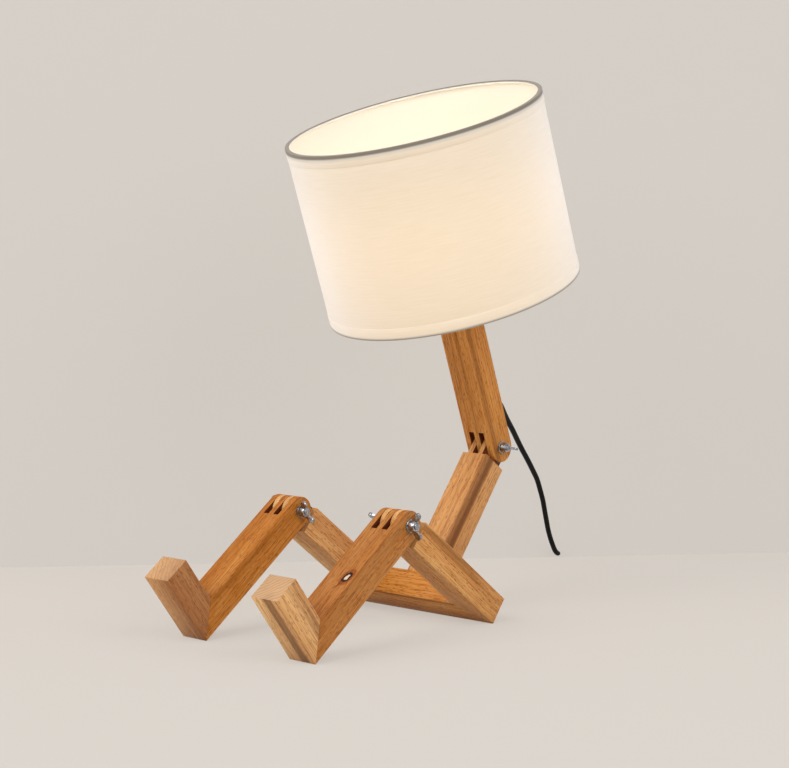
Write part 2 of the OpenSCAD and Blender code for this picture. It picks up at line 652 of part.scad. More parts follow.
// Switch: two shells that meet at the cord's middle, a rocker on a pin, contacts and screws
rocker_gap = 0.3;
rocker_pin_r = 1.3;
rocker_z = switch_h - 3.5;
cheek_t = 2;
screw_r = 1.4;
screw_offset = switch_len / 2 - 8;
module switch_frame() translate([switch_x, switch_y + switch_len / 2, 0]) children();
module switch_block(z, h, wall) translate([-switch_w / 2 + wall, -switch_len / 2 + wall, z])
  cube([switch_w - 2 * wall, switch_len - 2 * wall, h]);
module switch_cord_hole() translate([0, 0, switch_axis_z]) rotate([90, 0, 0])
  cylinder(r = cord_r - 0.3, h = 2 * switch_len, center = true);
module screw_places() for (s = [-1, 1]) for (t = [-1, 1])
  if (s == t) translate([s * (switch_w / 2 - switch_wall - 2.4), t * screw_offset, 0]) children();

module switch_lower_shell() color("Black") switch_frame() difference() {
  union() {
    difference() {
      switch_block(0, switch_axis_z, 0);
      switch_block(switch_wall, switch_h, switch_wall);
    }
    screw_places() cylinder(r = 3, h = switch_axis_z);
  }
  switch_cord_hole();
  screw_places() translate([0, 0, -1]) cylinder(r = screw_r + glue_gap, h = switch_h);
  screw_places() translate([0, 0, -1]) cylinder(r = 2.6, h = 3);
}

module switch_upper_shell() color("Black") switch_frame() difference() {
  cheek_x = rocker_w / 2 + rocker_gap;
  union() {
    difference() {
      switch_block(switch_axis_z, switch_h - switch_axis_z, 0);
      switch_block(0, switch_h - switch_wall, switch_wall);
    }
    screw_places() translate([0, 0, switch_axis_z]) cylinder(r = 3, h = switch_h - switch_axis_z - 1);
    for (s = [-1, 1]) translate([s * (cheek_x + cheek_t / 2) - cheek_t / 2, -3, rocker_z - 2.5])
      cube([cheek_t, 6, switch_h - switch_wall - rocker_z + 3]);
  }
  switch_cord_hole();
  screw_places() cylinder(r = screw_r + glue_gap, h = switch_h - 3);
  translate([-cheek_x, -rocker_len / 2 - rocker_gap, rocker_z - 5])
    cube([2 * cheek_x, rocker_len + 2 * rocker_gap, switch_h]);
  translate([0, 0, rocker_z]) rotate([0, 90, 0])
    cylinder(r = rocker_pin_r + bolt_gap, h = 2 * (cheek_x + cheek_t + 0.5), center = true);
}

// Rocker: its sides are drawn in towards the ends, so that it clears the opening when it tilts
module switch_rocker() color("DarkRed") switch_frame() translate([0, 0, rocker_z])
  rotate([rocker_tilt, 0, 0]) {
    half = rocker_len / 2 - 0.6;
    slab(-rocker_w / 2, rocker_w) polygon([[-half, 3.2], [0, 4.2], [half, 3.2],
      [half - 0.8, -0.5], [2, -2.5], [-2, -2.5], [-half + 0.8, -0.5]]);
    rotate([0, 90, 0]) cylinder(r = rocker_pin_r, h = rocker_w + 2 * (rocker_gap + cheek_t), center = true);
  }

module switch_contacts() color("Gold") switch_frame() for (s = [-1, 1])
  translate([0, s * rocker_len * 0.55, 0]) {
    translate([-2, -4, switch_wall]) cube([4, 8, 0.8]);
    translate([-2, -0.4, switch_wall]) cube([4, 0.8, rocker_z - switch_wall - 5]);
  }

module switch_screws() color("Silver") switch_frame() screw_places() {
  translate([0, 0, 0.5]) cylinder(r = 2.5, h = 1.4);
  translate([0, 0, 0.5]) cylinder(r = screw_r, h = switch_h - 4);
}

// Plug: axis along +Y, pins at its far end
module plug_frame() translate([coil_x - coil_r, plug_y, plug_axis_z]) children();
module along_y() rotate([-90, 0, 0]) children();
module pin_places() for (s = [-1, 1])
  translate([s * pin_spacing / 2, sleeve_len + plug_len, 0]) along_y() children();
pin_depth = 12;
pin_neck_r = pin_sleeve_d / 2 - pin_sleeve_wall;
module plug_body() color("Black") plug_frame() difference() {
  union() {
    along_y() cylinder(r1 = cord_r + 1, r2 = cord_r + 2.2, h = sleeve_len);
    intersection() {
      translate([0, sleeve_len, -plug_t / 2]) linear_extrude(plug_t)
        polygon([[-plug_t / 2, 0], [plug_t / 2, 0], [plug_w / 2, plug_len * 0.6],
          [plug_w / 2, plug_len], [-plug_w / 2, plug_len], [-plug_w / 2, plug_len * 0.6]]);
      translate([-plug_w, 0, 0]) rotate([90, 0, 90]) linear_extrude(2 * plug_w) polygon([
        [sleeve_len, -plug_t * 0.36], [sleeve_len + 6, -plug_t / 2],
        [sleeve_len + plug_len, -plug_t / 2], [sleeve_len + plug_len, plug_t / 2],
        [sleeve_len + 6, plug_t / 2], [sleeve_len, plug_t * 0.36]]);
    }
  }
  pin_places() translate([0, 0, -pin_depth]) cylinder(r = pin_neck_r + glue_gap, h = 2 * pin_depth);
}
module plug_pins() color("Silver") plug_frame() pin_places() {
  translate([0, 0, -pin_depth + 0.2]) cylinder(r = pin_neck_r, h = pin_depth + pin_sleeve_len);
  translate([0, 0, pin_sleeve_len]) cylinder(d = pin_d, h = pin_len - pin_sleeve_len - 1);
  translate([0, 0, pin_len - 1]) cylinder(d1 = pin_d, d2 = pin_d - 1.4, h = 1);
}
module plug_sleeves() color("Black") plug_frame() pin_places() difference() {
  cylinder(r = pin_neck_r + pin_sleeve_wall, h = pin_sleeve_len);
  translate([0, 0, -1]) cylinder(r = pin_neck_r + glue_gap, h = pin_sleeve_len + 2);
}

hip_bar();
thigh(LEFT);  // left_thigh
thigh(RIGHT);  // right_thigh
hip_dowels();
torso_beam();
torso_dowels();
shin(LEFT);  // left_shin
foot(LEFT);  // left_foot
ankle_dowels(LEFT);  // left_ankle_dowels
at_knee(LEFT) wing_bolt(138);  // left_knee_bolt
at_knee(LEFT) washers();  // left_knee_washers
at_knee(LEFT) wing_nut(95);  // left_knee_wing_nut
shin(RIGHT);  // right_shin
foot(RIGHT);  // right_foot
ankle_dowels(RIGHT);  // right_ankle_dowels
at_knee(RIGHT) wing_bolt(60);  // right_knee_bolt
at_knee(RIGHT) washers();  // right_knee_washers
at_knee(RIGHT) wing_nut(122);  // right_knee_wing_nut
upper_beam();
at_waist() wing_bolt(110);  // waist_bolt
at_waist() washers();  // waist_washers
at_waist() wing_nut(-10);  // waist_wing_nut
threaded_tube();
tube_nut();
holder_cap();
holder_shell();
holder_insert();
holder_screw_contact();
holder_centre_contact();
shade_ring();
shade_fitter();
shade_top_wire();
shade_liner();
shade_fabric();
shade_top_hem();
shade_bottom_hem();
bulb_globe();
bulb_housing();
bulb_led_plate();
bulb_leds();
bulb_driver();
bulb_screw_cap();
bulb_insulator();
bulb_end_contact();
inner_cable();
cord_bush();
cord_lead();
cord_coil();
cord_tie();
switch_lower_shell();
switch_upper_shell();
switch_rocker();
switch_contacts();
switch_screws();
plug_body();
plug_pins();
plug_sleeves();
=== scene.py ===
# Desk lamp in the shape of a seated figure: its finishes, its lit shade and its cord.
# Everything is in metres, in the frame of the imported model: the figure faces -Y on the plane Z = 0.

import json
from math import atan2, cos, pi, radians, sin

import bpy
from mathutils import Matrix, Vector


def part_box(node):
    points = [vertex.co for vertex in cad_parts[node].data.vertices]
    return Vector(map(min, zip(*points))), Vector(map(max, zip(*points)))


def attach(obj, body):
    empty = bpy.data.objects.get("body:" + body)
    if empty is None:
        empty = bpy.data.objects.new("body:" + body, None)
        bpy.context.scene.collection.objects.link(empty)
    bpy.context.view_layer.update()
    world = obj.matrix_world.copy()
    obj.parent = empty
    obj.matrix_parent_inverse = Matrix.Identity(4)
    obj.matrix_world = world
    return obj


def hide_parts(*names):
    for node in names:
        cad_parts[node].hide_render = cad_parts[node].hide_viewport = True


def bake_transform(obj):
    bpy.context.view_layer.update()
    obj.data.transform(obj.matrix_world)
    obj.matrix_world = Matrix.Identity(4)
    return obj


MM = 0.001

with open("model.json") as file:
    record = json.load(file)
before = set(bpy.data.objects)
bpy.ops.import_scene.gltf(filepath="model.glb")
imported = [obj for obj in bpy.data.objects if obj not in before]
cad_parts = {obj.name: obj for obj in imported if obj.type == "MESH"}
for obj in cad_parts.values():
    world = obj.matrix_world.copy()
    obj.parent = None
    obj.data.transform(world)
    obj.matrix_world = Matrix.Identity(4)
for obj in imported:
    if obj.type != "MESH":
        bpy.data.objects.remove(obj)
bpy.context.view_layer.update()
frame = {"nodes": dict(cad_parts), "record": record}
nodes = frame["nodes"]
record = frame["record"]
slot_of = {part["node"]: part["material_slot"] for part in record["subparts"]}
body_of = {node: body for body, held in record["behaviour"]["bodies"].items() for node in held}


def deselect():
    bpy.ops.object.select_all(action="DESELECT")


deselect()

# ---------------------------------------------------------------- sizes of the lamp

THIGH_TILT = radians(37.3)
SHIN_SLOPE = radians(36.6364)
BEAM_LEAN = radians(19.8)
LEG_SPACING = 123 * MM
LEG_DEPTH = 24 * MM
KNEE_Y, KNEE_Z = -49.006 * MM, 93.172 * MM
WAIST = Vector((0, 139.025, 136.612)) * MM

# On the left shin's upper face, down from the knee and outwards from the bar's middle line
KNOT_DOWN, KNOT_OUT = 71.6 * MM, 7.3 * MM

# A face turned sideways this near to a bar's middle is a slot's wall, not the bar's side.
SLOT_REACH = 13.2 * MM

# Along the upper beam's own axis, from the waist bolt
SHADE_BOTTOM = 144.6 * MM
SHADE_HEIGHT = 158 * MM
SHADE_TOP = SHADE_BOTTOM + SHADE_HEIGHT
SHADE_RADIUS = 110 * MM
FABRIC_THICKNESS = 0.6 * MM
LINER_RADIUS = 109.35 * MM
LINER_THICKNESS = 0.5 * MM
HEM_WIDTH = 10 * MM
HEM_THICKNESS = 0.35 * MM
TAPE_THICKNESS = HEM_THICKNESS * 0.8
WIRE_INSIDE = 106.7 * MM

CORD_DIAMETER = 5 * MM
CORD_EXIT = Vector((0, 140.451, 183.991)) * MM
EXIT_SLOPE = radians(15) + BEAM_LEAN
# Along Y, in whole millimetres
SWITCH_START, SWITCH_END, COIL_MIDDLE, PLUG_START = 390, 448, 484, 515
SWITCH_AXIS_Z, PLUG_AXIS_Z = 7.5 * MM, 7 * MM
COIL_CENTRE = Vector((-58, COIL_MIDDLE, 0)) * MM
COIL_RADIUS = 39 * MM
COIL_PITCH = 5.5 * MM
COIL_LOW = 3.7 * MM
COIL_HIGH = COIL_LOW + COIL_PITCH
# Each of its two spirals, with half a turn between them that climbs and bows inwards
COIL_TURNS = 3.25
CLIMB_TURNS = 0.5
CLIMB_BOW = 0.9 * MM
STEPS_A_TURN = 32

# The upper beam's frame: X across, Z up the beam, zero at the waist bolt
beam_frame = Matrix.Translation(WAIST) @ Matrix.Rotation(BEAM_LEAN, 4, "X")

# ---------------------------------------------------------------- camera

CAMERA_PLACE = Vector((1.0257, -1.0966, 0.3028))
CAMERA_TARGET = Vector((-0.01955, 0.03545, 0.19634))


def facing(place, target):
    """The turn of a camera or a light that looks from a place at a target."""
    return (Vector(target) - Vector(place)).to_track_quat("-Z", "Y").to_euler()


camera_data = bpy.data.cameras.new("camera")
camera_data.lens = 82.68
camera_data.sensor_width = 36
camera_data.sensor_fit = "HORIZONTAL"
camera = bpy.data.objects.new("camera", camera_data)
bpy.context.collection.objects.link(camera)
camera.location = CAMERA_PLACE
camera.rotation_euler = facing(CAMERA_PLACE, CAMERA_TARGET)
bpy.context.scene.camera = camera

# ---------------------------------------------------------------- building a material

# A wave texture of scale 1 draws its bands or rings this far apart.
WAVE_SPACING = 0.314


def linear(sheet):
    """A hex colour such as C58F58, as three linear values and an alpha of 1."""
    parts = [int(sheet[i : i + 2], 16) / 255 for i in (0, 2, 4)]
    return [c / 12.92 if c <= 0.04045 else ((c + 0.055) / 1.055) ** 2.4 for c in parts] + [1.0]


def add(tree, kind, given=None):
    """Adds a node. Each thing given is one of its properties, an input's value or a feeding output."""
    node = tree.nodes.new("ShaderNode" + kind)
    for name, value in (given or {}).items():
        if isinstance(value, bpy.types.NodeSocket):
            tree.links.new(value, node.inputs[name])
        elif isinstance(name, str) and name in node.bl_rna.properties:
            setattr(node, name, value)
        else:
            node.inputs[name].default_value = value
    return node


def empty_material(name):
    """A material with an empty node tree, and that tree."""
    material = bpy.data.materials.new(name)
    material.use_nodes = True
    material.node_tree.nodes.clear()
    return material, material.node_tree


# From here to the stage, what a node takes is either a plain value or the output that feeds it.
def reckon(tree, operation, *values):
    """The result of a Math node."""
    return add(tree, "Math", {"operation": operation, **dict(enumerate(values))}).outputs[0]


def reckon_vector(tree, operation, *values):
    """The result of a VectorMath node: a number for a length or a dot product."""
    node = add(tree, "VectorMath", {"operation": operation, **dict(enumerate(values))})
    return node.outputs["Value" if operation in ("LENGTH", "DOT_PRODUCT") else "Vector"]


def ranged(tree, value, low, high, to_low=0.0, to_high=1.0, interpolation="LINEAR"):
    """A value brought from one range to another and held within it."""
    ends = {"From Min": low, "From Max": high, "To Min": to_low, "To Max": to_high}
    return add(tree, "MapRange", {"interpolation_type": interpolation, "Value": value, **ends}).outputs[0]


def laid(tree, share, under, over, blend="MIX"):
    """A share of one colour laid over another."""
    given = {"data_type": "RGBA", "blend_type": blend, 0: share, 6: under, 7: over}
    return add(tree, "Mix", given).outputs[2]


def noise(tree, place, scale, detail=2.0, roughness=0.5):
    """The outputs of a noise texture, by name."""
    given = {"Vector": place, "Scale": scale, "Detail": detail, "Roughness": roughness}
    return add(tree, "TexNoise", given).outputs


def coloured(tree, factor, *pairs):
    """A colour ramp over a factor. Its stops are pairs of place and hex colour."""
    ramp = add(tree, "ValToRGB", {"Fac": factor})
    line = ramp.color_ramp.elements
    while len(line) > 1:
        line.remove(line[-1])
    line[0].position, line[0].color = pairs[0][0], linear(pairs[0][1])
    for place, colour in pairs[1:]:
        line.new(place).color = linear(colour)
    return ramp.outputs[0]


def bumped(tree, height, strength, distance):
    """A surface's normal, raised by a height."""
    return add(tree, "Bump", {"Strength": strength, "Distance": distance, "Height": height}).outputs[0]


def principled(tree, **values):
    """The surface shader with its values, joined to the material's output."""
    names = {key: key.replace("_", " ").title().replace("Ior", "IOR") for key in values}
    shader = add(tree, "BsdfPrincipled", {names[key]: value for key, value in values.items()})
    add(tree, "OutputMaterial", {"Surface": shader.outputs[0]})
    return shader


# ---------------------------------------------------------------- stage

TABLE_SIZE = 12
BACKDROP_REACH = 6
BACKDROP_HEIGHT = Vector((0, 0, 4))
BACKDROP_FOOT = Vector((-0.094, 0.3595, 0))
BACKDROP_WAY = Vector((0.651, 0.759, 0)).normalized()


def stage_paper(name, colour, shown, share, one_sided):
    """Matt paper. Eye and gloss see a share of it as a plain colour, which evens out the light.

    The back and the shadow rays of one-sided paper let light through, so that the lamp is also lit
    and seen from behind.
    """
    material, tree = empty_material(name)
    path = add(tree, "LightPath")
    paper = add(tree, "BsdfDiffuse", {"Color": linear(colour), "Roughness": 0.6})
    plain = add(tree, "Emission", {"Color": linear(shown)})
    eye = reckon(tree, "MAXIMUM", path.outputs["Is Camera Ray"], path.outputs["Is Glossy Ray"])
    seen = reckon(tree, "MULTIPLY", eye, share)
    shader = add(tree, "MixShader", {"Fac": seen, 1: paper.outputs[0], 2: plain.outputs[0]})
    if one_sided:
        geometry = add(tree, "NewGeometry")
        either = reckon(tree, "MAXIMUM", geometry.outputs["Backfacing"], path.outputs["Is Shadow Ray"])
        clear = add(tree, "BsdfTransparent")
        shader = add(tree, "MixShader", {"Fac": either, 1: shader.outputs[0], 2: clear.outputs[0]})
    add(tree, "OutputMaterial", {"Surface": shader.outputs[0]})
    return material


bpy.ops.mesh.primitive_plane_add(size=TABLE_SIZE, location=(0, 0, 0))
table = bpy.context.object
table.name = "table_top"
table.data.materials.append(stage_paper("table_paper", "D1CCC6", "D8D0C7", 0.66, False))

deselect()
bpy.ops.mesh.primitive_plane_add(size=1)
wall = bpy.context.object
wall.name = "backdrop"
wall.data.clear_geometry()
wall_start = BACKDROP_FOOT - BACKDROP_WAY * BACKDROP_REACH
wall_end = BACKDROP_FOOT + BACKDROP_WAY * BACKDROP_REACH
wall.data.from_pydata(
    [wall_start, wall_end, wall_end + BACKDROP_HEIGHT, wall_start + BACKDROP_HEIGHT], [], [(0, 1, 2, 3)]
)
wall.data.materials.append(stage_paper("backdrop_paper", "DEDBD6", "D3CCC4", 0.78, True))
deselect()

# ---------------------------------------------------------------- finishes


def oval(tree, place, middle, half_width, half_length, slant):
    """Distance from an oval's middle, 1 on its edge, made uneven by up to a half."""
    fitted = add(
        tree, "Mapping",
        {"vector_type": "TEXTURE", "Location": tuple(middle), "Rotation": (0, 0, slant),
         "Scale": (half_width * MM, half_length * MM, half_length * MM), "Vector": place},
    )
    away = reckon_vector(tree, "LENGTH", fitted.outputs[0])
    return reckon(tree, "MULTIPLY_ADD", noise(tree, place, 500.0, 1.0)["Fac"], 0.5, away)


def with_knot(tree, place, middle, wood):
    """Lays a small dead knot, 7 by 11 mm, over the wood: a pale heart in a dark ring, and its crack."""
    edge = oval(tree, place, middle, 5.2, 8.0, radians(-12))
    halo = coloured(tree, edge, (0.0, "2A160A"), (0.86, "2A160A"), (0.93, "7A4A24"), (1.0, "D8B48C"))
    crack = oval(tree, place, middle + Vector((-3.4, -9.5, 0)) * MM, 0.45, 5.5, radians(-24))
    wood = laid(tree, ranged(tree, edge, 1.5, 1.25), wood, halo, "MULTIPLY")
    wood = laid(tree, ranged(tree, edge, 0.66, 0.56), wood, linear("DCC4A8"))
    return laid(tree, ranged(tree, crack, 1.3, 0.9), wood, linear("33190A"))


def oiled_wood(
    name, node, turn, across=False, pith=(38, 46), streaks=(), heart=None, knot=None, tone=0.0,
    shift=0.0, end_grain=0.2,
):
    """Oiled hardwood with a planed face: honey brown, darker pores along the grain, a satin sheen.

    turn brings the bar's grain to the Y axis, about X. pith is where the tree's middle lay beside
    the bar's own middle, across and in depth, and a streak is a dark vein at such a place with its
    radius, all in millimetres, and its depth of colour. The bar darkens towards its heart: a way in
    the lamp's frame and a share. A knot lies at a place in that frame. A higher tone is darker and
    redder. end_grain is how far the bar's sawn ends turn pale.
    """
    material, tree = empty_material(name)
    coords = add(tree, "TexCoord")
    low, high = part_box(node)
    about_z = radians(90) if across else 0
    spin = Matrix.Rotation(about_z, 4, "Z") @ Matrix.Rotation(turn, 4, "X")
    middle = spin @ ((low + high) / 2)
    turned = {"Rotation": (turn, 0, about_z)}
    place = add(
        tree, "Mapping", {**turned, "Location": tuple(-middle), "Vector": coords.outputs["Object"]}
    ).outputs[0]
    # Each bar's figure differs: its pattern starts somewhere else along the same log.
    log = reckon_vector(tree, "ADD", place, (shift, shift * 3.7, shift * 1.3))

    def drawn_out(share):
        """The place in the log, for a pattern drawn out along the grain: the smaller the longer."""
        return reckon_vector(tree, "MULTIPLY", log, (1, share, 1))

    # Growth rings 3.1 mm apart around the pith. The wander moves them by 8 mm, give or take 8 mm.
    stretched = drawn_out(0.07)
    wander = noise(tree, stretched, 26.0, 4.0, 0.55)["Color"]
    bent = reckon_vector(tree, "MULTIPLY_ADD", wander, (16 * MM, 0, 16 * MM), place)
    rings = add(
        tree, "TexWave",
        {"wave_type": "RINGS", "rings_direction": "Y", "wave_profile": "SAW",
         "Scale": WAVE_SPACING / (3.1 * MM), "Distortion": 0.0,
         "Vector": reckon_vector(tree, "SUBTRACT", bent, (pith[0] * MM, 0, pith[1] * MM))},
    )
    # Broad patches 30 mm wide, fine fibres 0.8 mm wide and open pores 0.6 mm wide and 3 mm long.
    patches = noise(tree, stretched, 33.0, 3.0, 0.55)["Fac"]
    fibres = noise(tree, drawn_out(0.035), 1250.0, 3.0, 0.6)["Fac"]
    pores = add(tree, "TexVoronoi", {"Scale": 720.0, "Randomness": 1.0, "Vector": drawn_out(0.2)})

    wood = coloured(tree, patches, (0.30, "CC935A"), (0.50, "DEA86E"), (0.68, "EEC38A"))
    ring_tint = coloured(
        tree, rings.outputs["Fac"], (0.0, "FFFFFF"), (0.62, "F8EEE2"), (0.93, "D2AC84"), (1.0, "F2E6D6")
    )
    fibre_tint = coloured(tree, fibres, (0.33, "B88A5E"), (0.47, "F4E8D8"), (0.62, "FFFFFF"))
    pore_tint = coloured(tree, pores.outputs["Distance"], (0.14, "84542E"), (0.32, "FFFFFF"))
    for tint, share in ((ring_tint, 0.42), (fibre_tint, 0.75), (pore_tint, 0.62)):
        wood = laid(tree, share, wood, tint, "MULTIPLY")

    if heart:
        way, share = heart
        inwards = reckon_vector(tree, "DOT_PRODUCT", bent, tuple(spin @ Vector(way)))
        near_heart = ranged(tree, inwards, -4 * MM, 20 * MM, 0.0, share)
        wood = laid(tree, near_heart, wood, linear("C0A288"), "MULTIPLY")

    # Narrow brown mineral veins, far longer than they are wide.
    veins = noise(tree, drawn_out(0.03), 105.0, 2.5)["Fac"]
    wood = laid(tree, ranged(tree, veins, 0.61, 0.70, 0.0, 0.62), wood, linear("7C4718"))
    for x, z, radius, depth in streaks:
        off = reckon_vector(tree, "SUBTRACT", bent, (x * MM, 0, z * MM))
        away = reckon_vector(tree, "LENGTH", reckon_vector(tree, "MULTIPLY", off, (1, 0, 1)))
        ragged = reckon(tree, "MULTIPLY_ADD", fibres, -2.2 * MM, away)
        share = ranged(tree, ragged, radius * MM, (radius - 2.6) * MM, 0.0, depth)
        wood = laid(tree, share, wood, linear("6A350A"))
    if knot:
        wood = with_knot(tree, place, spin @ Vector(knot) - middle, wood)

    # End grain drinks more oil and scatters more light: paler and greyer, without the veins' ends.
    normal = add(
        tree, "Mapping", {"vector_type": "VECTOR", **turned, "Vector": coords.outputs["Normal"]}
    )
    way = add(tree, "SeparateXYZ", {0: normal.outputs[0]})
    along_grain = reckon(tree, "ABSOLUTE", way.outputs["Y"])
    end_colour = laid(tree, 0.7, linear("C09A77"), ring_tint, "MULTIPLY")
    wood = laid(tree, ranged(tree, along_grain, 0.8, 0.95, 0.0, end_grain), wood, end_colour)

    # Walls of the slots, inside the bar: darkened as painted shade, for the light that hardly reaches into
    # them.
    from_middle = reckon(tree, "ABSOLUTE", add(tree, "SeparateXYZ", {0: place}).outputs["X"])
    within = reckon(tree, "LESS_THAN", from_middle, SLOT_REACH)
    sawn = reckon(tree, "GREATER_THAN", reckon(tree, "ABSOLUTE", way.outputs["X"]), 0.7)
    slot_shade = reckon(tree, "MULTIPLY", within, sawn)
    wood = laid(tree, slot_shade, wood, linear("80543A"), "MULTIPLY")

    toned = add(
        tree, "HueSaturation",
        {"Hue": 0.5 - 0.006 * tone, "Saturation": 1.05 + 0.12 * tone, "Value": 1.0 - 0.1 * tone,
         "Color": wood},
    )
    # Oil fills the pores less than the planed face, so they are rougher and a little lower.
    principled(
        tree, ior=1.45, specular_ior_level=0.35, base_color=toned.outputs[0],
        roughness=ranged(tree, fibres, 0.3, 0.7, 0.62, 0.46), normal=bumped(tree, fibres, 0.35, 0.12 * MM),
    )
    return material


def mottled(
    name, light, dark, size, roughness, relief=0.0, depth=0.1, detail=2.0, stretch=(1, 1, 1), **values
):
    """A finish that varies between two colours in patches or streaks of a given size in millimetres.

    roughness is a pair, for the light and for the dark places. relief is how strongly the patches
    stand out, and depth their height in millimetres.
    """
    material, tree = empty_material(name)
    coords = add(tree, "TexCoord")
    drawn = add(tree, "Mapping", {"Scale": stretch, "Vector": coords.outputs["Object"]})
    cloud = noise(tree, drawn.outputs[0], 1 / (size * MM), detail)["Fac"]
    if relief:
        values["normal"] = bumped(tree, cloud, relief, depth * MM)
    principled(
        tree, base_color=coloured(tree, cloud, (0.32, dark), (0.66, light)),
        roughness=ranged(tree, cloud, 0.3, 0.7, roughness[1], roughness[0]), **values,
    )
    return material


finishes = {
    # Planed beech, pale and pinkish, with short darker flecks.
    "dowel_wood": mottled("planed_beech", "D2AC82", "B98B5E", 1.2, (0.6, 0.7), 0.2, stretch=(1, 0.3, 1)),
    # Bright zinc plating on cast wing nuts: cool, with cloudy patches of plating whose dark grey also
    # serves as painted dark reflection.
    "zinc": mottled("bright_zinc_plate", "C6C8CC", "787B82", 1.6, (0.14, 0.3), 0.25, 0.08, metallic=1.0),
    # Turned brass, satin, darker where it was handled.
    "brass": mottled("turned_brass", "D8B470", "B08A48", 1.5, (0.25, 0.4), metallic=1.0),
    # Moulded black phenolic: deep black with a fine satin grain of 0.4 mm.
    "black_plastic": mottled(
        "moulded_black_phenolic", "1E1E1F", "141415", 0.4, (0.36, 0.5), 0.3, 0.03, ior=1.5
    ),
    # Glazed porcelain: white, glossy, faintly uneven.
    "porcelain": mottled("glazed_porcelain", "F0EEE8", "E2DFD6", 3.0, (0.1, 0.16), 0.1, 0.05, ior=1.52),
    # White powder coat on wire: fine orange peel.
    "white_wire": mottled("white_powder_coat", "ECEAE4", "DEDBD4", 0.8, (0.42, 0.5), 0.4, 0.04, ior=1.5),
    # Opaque white polybutylene housing, moulded smooth.
    "white_plastic": mottled(
        "moulded_white_plastic", "EFEDE7", "E4E1DA", 0.7, (0.3, 0.38), 0.15, 0.02, ior=1.46
    ),
    # Plain rolled aluminium plate.
    "aluminium": mottled(
        "rolled_aluminium", "D5D6D8", "B9BBBE", 0.9, (0.3, 0.42), stretch=(1, 0.1, 1), metallic=1.0
    ),
    # Phosphor under clear resin.
    "led": mottled("phosphor_resin", "EFD57A", "D8B64E", 0.4, (0.15, 0.25), ior=1.45),
    # Lacquered glass-fibre board, woven at 0.6 mm.
    "circuit_board": mottled(
        "lacquered_glass_fibre", "1F6B43", "154D30", 0.6, (0.25, 0.4), 0.2, 0.03, ior=1.5
    ),
    # Nickel plate on the bulb's cap and the plug's pins: warmer than zinc.
    "nickel": mottled("nickel_plate", "CFCBC2", "B1ACA2", 1.4, (0.2, 0.32), metallic=1.0),
    # Black glass bead under the bulb's cap.
    "black_glass": mottled("black_glass", "17171B", "0D0D10", 1.0, (0.06, 0.12), ior=1.52),
    # Extruded PVC sheath: deep black, dull, slightly wavy.
    "black_cord": mottled(
        "extruded_pvc", "070606", "040404", 3.0, (0.5, 0.6), 0.2, 0.06, ior=1.5, specular_ior_level=0.12
    ),
    # Hook-and-loop tape: dark grey nap, 0.5 mm tufts.
    "grey_tie": mottled("napped_nylon_tape", "3A3A3C", "202022", 0.5, (0.85, 0.95), 0.8, 0.15),
    # Moulded red polycarbonate rocker.
    "red_plastic": mottled(
        "moulded_red_polycarbonate", "A81C16", "8E1410", 0.7, (0.2, 0.3), 0.1, 0.02, ior=1.58
    ),
}


